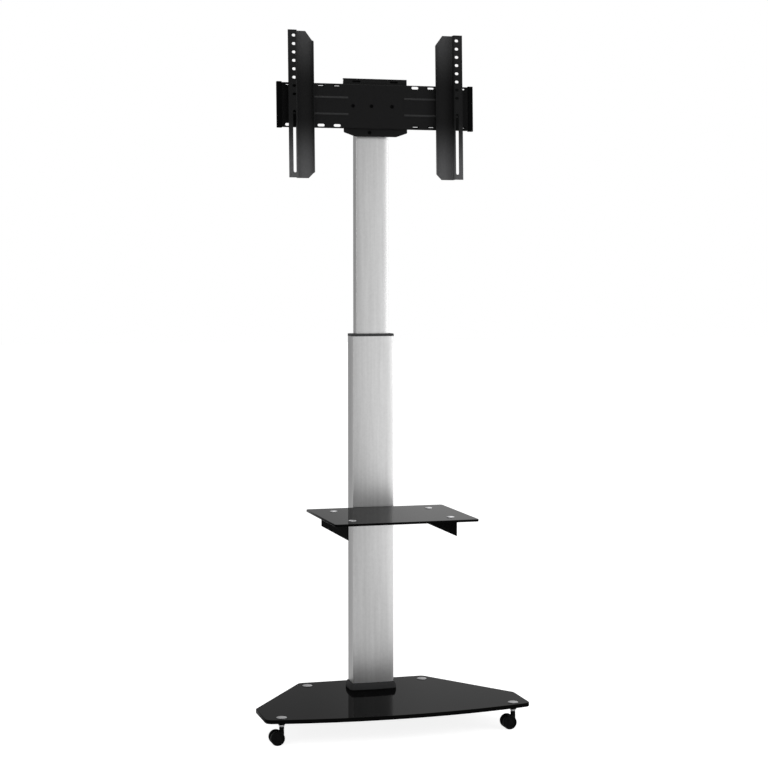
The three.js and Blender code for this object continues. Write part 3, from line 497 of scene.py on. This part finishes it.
def spun(name, stations, place, axis, material, body, replaced, steps=ROUND_STEPS):
    """A closed turned piece. Its stations run along the axis as (radius, height), numbers or functions
    of the angle, and the first and last meet the axis."""
    turn = Vector((0, 0, 1)).rotation_difference(Vector(axis))
    mesh = bmesh.new()
    rings = [ring_of(mesh, radius, height, steps, turn, Vector(place)) for radius, height in stations]
    for low, high in zip(rings, rings[1:]):
        for i in range(steps):
            k = (i + 1) % steps
            corners = [low[i % len(low)], low[k % len(low)], high[k % len(high)], high[i % len(high)]]
            mesh.faces.new(list(dict.fromkeys(corners)))
    finished(name, mesh, material, body, replaced)


def hexagon(corner_radius):
    """The outline of a hexagon as a radius for each angle."""
    sixth = math.pi / 3
    return lambda angle: corner_radius * math.cos(sixth / 2) / math.cos(angle % sixth - sixth / 2)


def chamfered(corner_radius, height):
    """A hexagon's top edge, cut back at its corners as on a turned bolt head or nut."""
    outline = hexagon(corner_radius)
    flat = corner_radius * math.cos(math.pi / 6)
    slope = math.tan(math.radians(30))
    return lambda angle: height - (outline(angle) - flat * 0.95) * slope


def lobed(radius, depth, count):
    """The outline of a knob with round lobes as a radius for each angle."""
    return lambda angle: radius - depth + depth * math.cos(count * angle)


def spoked(height, depth, count):
    """A wheel's outer face as a height for each angle, sunk by the depth between its spokes."""
    def face(angle):
        wave = 0.5 + 0.5 * math.cos(count * angle)
        return height - depth * min(1, max(0, (wave - 0.25) / 0.35))
    return face


def shifted(height, by):
    """A height, or a height for each angle, moved along the axis."""
    if callable(height):
        return lambda angle: height(angle) + by
    return height + by


def hex_head(corner_radius, thick, seat):
    """From the seat's height to the axis: a washer, then a hexagon head with turned chamfers."""
    washer = 1.2 * MM
    stations = [
        (corner_radius * 1.2, 0), (corner_radius * 1.2, washer), (corner_radius * 0.9, washer),
        (hexagon(corner_radius), washer), (hexagon(corner_radius), chamfered(corner_radius, thick)),
        (corner_radius * 0.8, thick), (corner_radius * 0.5, thick - 0.2 * MM), (0, thick - 0.2 * MM),
    ]
    return [(radius, shifted(height, seat)) for radius, height in stations]


def make_caps(finishes):
    """Satin caps: over each caster on the base, and at each corner of the shelf."""
    kinds = (("caster_cap", "base", 5.0 * MM, "grey_satin"), ("shelf_cap", "shelf", 3.0 * MM, "satin"))
    for corner in CORNERS:
        for kind, body, pin, finish in kinds:
            node = f"{kind}_{corner}"
            low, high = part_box(node)
            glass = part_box("base_glass" if kind == "caster_cap" else "shelf_glass")[1].z
            radius = (high.x - low.x) / 2
            top = high.z - low.z
            seat = glass - low.z
            rise = top - seat
            stations = [
                (0, 0), (pin - 0.5 * MM, 0), (pin, 0.5 * MM), (pin, seat), (radius - 0.3 * MM, seat),
                (radius, seat + 0.3 * MM), (radius, seat + 0.35 * rise),
                (radius - 0.4 * MM, seat + 0.5 * rise), (radius - 1.2 * MM, seat + 0.62 * rise),
                (radius * 0.8, seat + 0.76 * rise), (radius * 0.55, seat + 0.92 * rise),
                (radius * 0.28, seat + 0.98 * rise), (0, top),
            ]
            spun(f"{node}_satin", stations, foot_of(node), (0, 0, 1), finishes[finish], body, [node])


def make_spacers(finishes):
    """The dished spacer under the glass at each caster, and the hexagon nut and stem below it."""
    flange = 1.0 * MM
    nut_tall = 4 * MM
    lower_stem = 4 * MM
    upper_stem = 3 * MM
    for corner in CORNERS:
        node = f"caster_spacer_{corner}"
        low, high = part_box(node)
        radius = (high.x - low.x) / 2
        tall = high.z - low.z
        stations = [
            (0, 0), (radius * 0.46, 0), (radius * 0.5, 0.4 * MM), (radius * 0.56, tall * 0.3),
            (radius * 0.7, tall * 0.55), (radius * 0.88, tall * 0.74), (radius * 0.985, tall * 0.82),
            (radius, tall * 0.88), (radius, tall), (0, tall),
        ]
        place = foot_of(node)
        spun(f"{node}_dish", stations, place, (0, 0, 1), finishes["plastic"], "base", [node])

        stem = f"caster_stem_{corner}"
        low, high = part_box(stem)
        long = high.z - low.z
        nut = (high.x - low.x) / 2
        nut_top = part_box(node)[0].z - low.z
        nut_foot = nut_top - nut_tall
        stations = [
            (0, 0), (lower_stem, 0), (lower_stem, nut_foot), (nut * 0.99, nut_foot),
            (nut, nut_foot + 0.2 * MM), (nut, nut_foot + flange),
            (hexagon(nut * 0.98), nut_foot + flange),
            (hexagon(nut * 0.98), chamfered(nut * 0.98, nut_top)), (nut * 0.8, nut_top),
            (upper_stem, nut_top), (upper_stem, long), (0, long),
        ]
        place.z = low.z
        spun(f"{stem}_nut", stations, place, (0, 0, 1), finishes["zinc"], "base", [stem])


def make_wheels(finishes):
    """Twin wheels with a lipped rim, five shallow pockets between spokes, and a domed hub."""
    spokes = 5
    pocket = 1.1 * MM
    bore = 3.3 * MM
    hub = 8 * MM
    for corner in CORNERS:
        for letter, side in (("a", -1), ("b", 1)):
            node = f"caster_wheel_{corner}_{letter}"
            low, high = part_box(node)
            radius = (high.z - low.z) / 2
            rim = radius - 4 * MM
            wide = high.y - low.y
            dish = wide - 2 * MM
            pocket_edge = spoked(dish, pocket * 0.2, spokes)
            pocket_floor = spoked(dish, pocket, spokes)
            stations = [
                (0, wide - 0.6 * MM), (hub * 0.6, wide - 0.8 * MM), (hub - 1.0 * MM, wide - 1.2 * MM),
                (hub, wide - 1.8 * MM), (hub + 0.3 * MM, dish), (hub + 1.2 * MM, pocket_edge),
                (hub + 2.0 * MM, pocket_floor), (rim - 2.2 * MM, pocket_floor),
                (rim - 1.4 * MM, pocket_edge), (rim - 0.5 * MM, dish), (rim, wide - 0.4 * MM),
                (rim + 0.4 * MM, wide), (radius - 2.0 * MM, wide), (radius - 0.9 * MM, wide - 0.3 * MM),
                (radius - 0.25 * MM, wide - 1.0 * MM), (radius, wide - 2.0 * MM), (radius, 1.5 * MM),
                (radius - 0.3 * MM, 0.6 * MM), (radius - 1.0 * MM, 0), (bore, 0), (bore, dish - 1 * MM),
                (0, dish - 1 * MM),
            ]
            place = middle_of(node)
            place.y = high.y if side < 0 else low.y
            spun(f"{node}_moulded", stations, place, (0, side, 0), finishes["tread"],
                 f"wheel_{corner}_{letter}", [node], steps=WHEEL_STEPS)


def make_knob(finishes):
    """The lobed knob at the back that locks the column's height."""
    low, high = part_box("height_knob")
    column_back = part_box("lower_column")[1].y
    foot = column_back + 0.5 * MM
    long = high.y - foot
    radius = (high.z - low.z) / 2
    lobes = 6

    def grip(share):
        return lobed(radius * share, 2.5 * MM * share, lobes)

    stations = [
        (0, 0), (9 * MM, 0), (9 * MM, 3.6 * MM), (grip(0.86), 4.2 * MM), (grip(0.95), 4.8 * MM),
        (grip(1), 6 * MM), (grip(1), long - 3.4 * MM), (grip(0.975), long - 2 * MM),
        (grip(0.91), long - 0.9 * MM), (grip(0.82), long - 0.3 * MM), (12.4 * MM, long - 0.3 * MM),
        (12 * MM, long - 1.0 * MM), (11.3 * MM, long - 1.0 * MM), (10.8 * MM, long - 0.3 * MM),
        (6 * MM, long - 0.05 * MM), (0, long),
    ]
    place = middle_of("height_knob")
    place.y = foot
    spun("height_knob_moulded", stations, place, (0, 1, 0), finishes["plastic"], "height_knob",
         ["height_knob"], steps=KNOB_STEPS)


def make_arm_locks(finishes):
    """A knurled thumb screw up through each arm's lower hook, with its thread between head and hook."""
    ridges = 24
    radius = 9 * MM
    head = 9 * MM
    stem = 3 * MM
    pitch = 1 * MM
    grip = lobed(radius, 0.35 * MM, ridges)
    shy = lobed(radius - 1 * MM, 0.1 * MM, ridges)
    for end in ENDS:
        axis = Vector(joints[f"arm_{end}_lock_turn"]["axis"])
        low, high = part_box(f"arm_lock_{end}")
        half = (high.z - low.z) / 2
        long = 2 * half
        place = middle_of(f"arm_lock_{end}") - axis * half
        stations = [
            (0, 0.4 * MM), (radius * 0.5, 0.4 * MM), (radius * 0.55, 0), (shy, 0), (grip, 1 * MM),
            (grip, head - 1 * MM), (shy, head), (stem + 1 * MM, head), (stem, head + 0.2 * MM),
        ]
        for i in range(int((long - head) / pitch)):
            foot = head + 0.2 * MM + i * pitch
            stations += [(stem - 0.35 * MM, foot + 0.3 * pitch), (stem, foot + 0.7 * pitch)]
        stations += [(stem, long), (0, long)]
        spun(f"arm_lock_{end}_knurled", stations, place, axis, finishes["plastic"], f"arm_lock_{end}",
             [f"arm_lock_{end}"], steps=KNURL_STEPS)


def make_bolts(finishes):
    """Washers and hexagon heads on the tilt bolts and on the clamp's bolts, over the plain ones."""
    shank = 4 * MM
    pivot = Vector(joints["head_tilt"]["pos_m"])
    for end, side in zip(ENDS, (-1, 1)):
        low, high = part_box(f"tilt_bolt_{end}")
        reach = max(abs(low.x), abs(high.x))
        inner = min(abs(low.x), abs(high.x))
        corner = 8 * MM
        head = 6 * MM
        seat = reach - head - inner
        stations = [(0, 0), (hexagon(corner), 0), (hexagon(corner), head), (shank, head), (shank, seat)]
        stations += hex_head(corner, head, seat)
        spun(f"tilt_bolt_{end}_hex", stations, (side * inner, pivot.y, pivot.z), (side, 0, 0),
             finishes["zinc"], "head", [f"tilt_bolt_{end}"])

        node = f"shelf_clamp_bolt_{end}"
        low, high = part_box(node)
        corner = 7 * MM
        head = 6.5 * MM
        seat = high.y - low.y - head
        stations = [
            (0, 0), (3.5 * MM, 0), (5.6 * MM, 0.3 * MM), (hexagon(corner), 1 * MM),
            (hexagon(corner), 5 * MM), (shank, 5 * MM), (shank, seat),
        ]
        stations += hex_head(corner, head, seat)
        place = middle_of(node)
        place.y = low.y
        spun(f"{node}_hex", stations, place, (0, 1, 0), finishes["zinc"], "shelf", [node])


def make_screws(finishes):
    """Button-head screws with hexagon sockets: three along the rail's middle, one low on the plate."""
    radius = 5.5 * MM
    tall = 2.8 * MM
    shank = 3 * MM
    sunk = -1 * MM
    socket = hexagon(2.4 * MM)
    stations = [
        (0, sunk), (shank, sunk), (shank, 0), (radius, 0), (radius, 0.4 * MM),
        (radius * 0.93, 0.5 * tall), (radius * 0.78, 0.8 * tall), (radius * 0.6, 0.96 * tall),
        (radius * 0.5, tall), (socket, tall), (socket, 0.7 * MM), (0, 0.3 * MM),
    ]
    for i, spot in enumerate(SCREW_SPOTS):
        spun(f"screw_{i + 1}", stations, head_point(*spot), front_of_head(), finishes["matte"],
             "head", [])


# Oblong pieces on the leaning head


def oblong_ring(mesh, wide, tall, centre, out):
    """A ring with round ends on the leaning head, at a distance forward from the tilt pivot."""
    radius = tall / 2
    ring = []
    for side in (1, -1):
        for k in range(OBLONG_STEPS + 1):
            angle = side * math.pi / 2 - math.pi * k / OBLONG_STEPS
            x = centre[0] + (side * (wide / 2 - radius) + radius * math.cos(angle))
            up = centre[1] + radius * math.sin(angle)
            ring.append(mesh.verts.new(head_point(x, out, up)))
    return ring


def bridge(mesh, low, high):
    """A band of faces between two rings."""
    for i in range(len(low)):
        k = (i + 1) % len(low)
        mesh.faces.new((low[i], low[k], high[k], high[i]))


def make_plugs(finishes):
    """Black plugs in the rail slots that show dark from the front, each with a slit of its own height."""
    front = RAIL_FACE - 0.3 * MM
    back = RAIL_FACE - RAIL_SHEET + 0.1 * MM
    round_edge = 0.5 * MM
    for i, ((x, row), slit) in enumerate(PLUG_SLITS.items()):
        mesh = bmesh.new()
        centre = (x * MM, row * SLOT_ROW)
        slit_size = (SLOT_WIDE - SLOT_TALL + slit * MM, slit * MM)
        rings = [
            oblong_ring(mesh, *slit_size, centre, front),
            oblong_ring(mesh, SLOT_WIDE - 2 * round_edge, SLOT_TALL - 2 * round_edge, centre, front),
            oblong_ring(mesh, SLOT_WIDE, SLOT_TALL, centre, front - round_edge),
            oblong_ring(mesh, SLOT_WIDE, SLOT_TALL, centre, back),
            oblong_ring(mesh, *slit_size, centre, back),
        ]
        for low, high in zip(rings, rings[1:] + rings[:1]):
            bridge(mesh, low, high)
        finished(f"slot_plug_{i + 1}", mesh, finishes["matte"], "head", [])


def make_backing(finishes):
    """A strip behind the plate's two upper slots, which shuts out the light."""
    centre = (0, 76 * MM)
    front = PLATE_FACE - PLATE_SHEET
    whole = (161 * MM, 11.4 * MM)
    cut_back = (160 * MM, 10.4 * MM)
    mesh = bmesh.new()
    rings = [
        oblong_ring(mesh, *cut_back, centre, front),
        oblong_ring(mesh, *whole, centre, front - 0.4 * MM),
        oblong_ring(mesh, *whole, centre, front - 1.1 * MM),
        oblong_ring(mesh, *cut_back, centre, front - 1.5 * MM),
    ]
    mesh.faces.new(rings[0])
    mesh.faces.new(rings[-1])
    for low, high in zip(rings, rings[1:]):
        bridge(mesh, low, high)
    finished("plate_backing", mesh, finishes["matte"], "head", [])


# Stage, world and lamps


def make_stage():
    """A pale floor that takes the shadow, and that the camera and mirrors see at levels of their own."""
    bpy.ops.mesh.primitive_plane_add(size=FLOOR_SIDE)
    floor = bpy.context.object
    floor.name = "floor"
    material, tree, shader = new_material("pale_floor")
    shader.inputs["Base Color"].default_value = (FLOOR_GREY, FLOOR_GREY, FLOOR_GREY, 1)
    shader.inputs["Roughness"].default_value = 0.9
    shader.inputs["Specular IOR Level"].default_value = 0
    path = tree.nodes.new("ShaderNodeLightPath")
    white = tree.nodes.new("ShaderNodeEmission")
    right = share_along(tree, (1, 0, 0), *FLOOR_RIGHT)
    mirrored = figured(tree, "MULTIPLY", seen_in_mirrors(tree), ranged(tree, right, *FLOOR_IN_MIRRORS))
    direct = figured(tree, "MULTIPLY", path.outputs["Is Camera Ray"], FLOOR_TO_CAMERA)
    tree.links.new(figured(tree, "MAXIMUM", mirrored, direct), white.inputs["Strength"])
    both = tree.nodes.new("ShaderNodeAddShader")
    tree.links.new(shader.outputs["BSDF"], both.inputs[0])
    tree.links.new(white.outputs["Emission"], both.inputs[1])
    tree.links.new(both.outputs["Shader"], tree.nodes["Material Output"].inputs["Surface"])
    floor.data.materials.append(material)


def make_world():
    """White to the camera, even for the light it gives, and of several levels in mirrors."""
    world = bpy.data.worlds.new("studio")
    bpy.context.scene.world = world
    world.use_nodes = True
    tree = world.node_tree
    back = tree.nodes["Background"]
    back.inputs["Color"].default_value = (1, 1, 1, 1)
    place = tree.nodes.new("ShaderNodeTexCoord").outputs["Generated"]
    parts = tree.nodes.new("ShaderNodeSeparateXYZ")
    tree.links.new(place, parts.inputs["Vector"])
    across = along_way(tree, place, (math.cos(BACKDROP_EDGE), -math.sin(BACKDROP_EDGE), 0))
    right = eased(tree, across, -BACKDROP_SOFT, BACKDROP_SOFT)
    far_left = eased(tree, across, *LEFT_SIDE)
    far_right = eased(tree, across, *RIGHT_SIDE)
    high_front = figured(tree, "MULTIPLY", eased(tree, parts.outputs["Y"], *FRONT_SIDE),
                         eased(tree, parts.outputs["Z"], *FRONT_HEIGHT))
    level = ranged(tree, right, *BACKDROP_IN_MIRRORS)
    for share, factor in ((far_left, LEFT_SIDE_IN_MIRRORS), (far_right, RIGHT_SIDE_IN_MIRRORS),
                          (high_front, HIGH_FRONT_IN_MIRRORS)):
        level = figured(tree, "MULTIPLY", level, ranged(tree, share, 1, factor))
    in_mirrors = seen_in_mirrors(tree)
    mirrored = figured(tree, "MULTIPLY", in_mirrors, level)
    path = tree.nodes.new("ShaderNodeLightPath")
    plain = ranged(tree, path.outputs["Is Camera Ray"], WORLD_LIGHT, 1)
    elsewhere = figured(tree, "MULTIPLY", ranged(tree, in_mirrors, 1, 0), plain)
    tree.links.new(figured(tree, "ADD", mirrored, elsewhere), back.inputs["Strength"])


def make_lamps():
    """Soft rectangular lamps, which the camera doesn't see."""
    for name, (place, (width, height), power) in LAMPS.items():
        lamp = bpy.data.lights.new(name, "AREA")
        lamp.shape = "RECTANGLE"
        lamp.size = width
        lamp.size_y = height
        lamp.energy = power
        holder = bpy.data.objects.new(name, lamp)
        bpy.context.collection.objects.link(holder)
        holder.location = place
        aim = Vector(LAMP_TARGET) - Vector(place)
        holder.rotation_euler = aim.to_track_quat("-Z", "Y").to_euler()
        holder.visible_camera = False


make_camera()
all_finishes = make_materials()
dress_nodes(all_finishes)
make_caps(all_finishes)
make_spacers(all_finishes)
make_wheels(all_finishes)
make_knob(all_finishes)
make_arm_locks(all_finishes)
make_bolts(all_finishes)
make_screws(all_finishes)
make_plugs(all_finishes)
make_backing(all_finishes)
make_stage()
make_world()
make_lamps()
bpy.context.scene.view_settings.view_transform = "Standard"
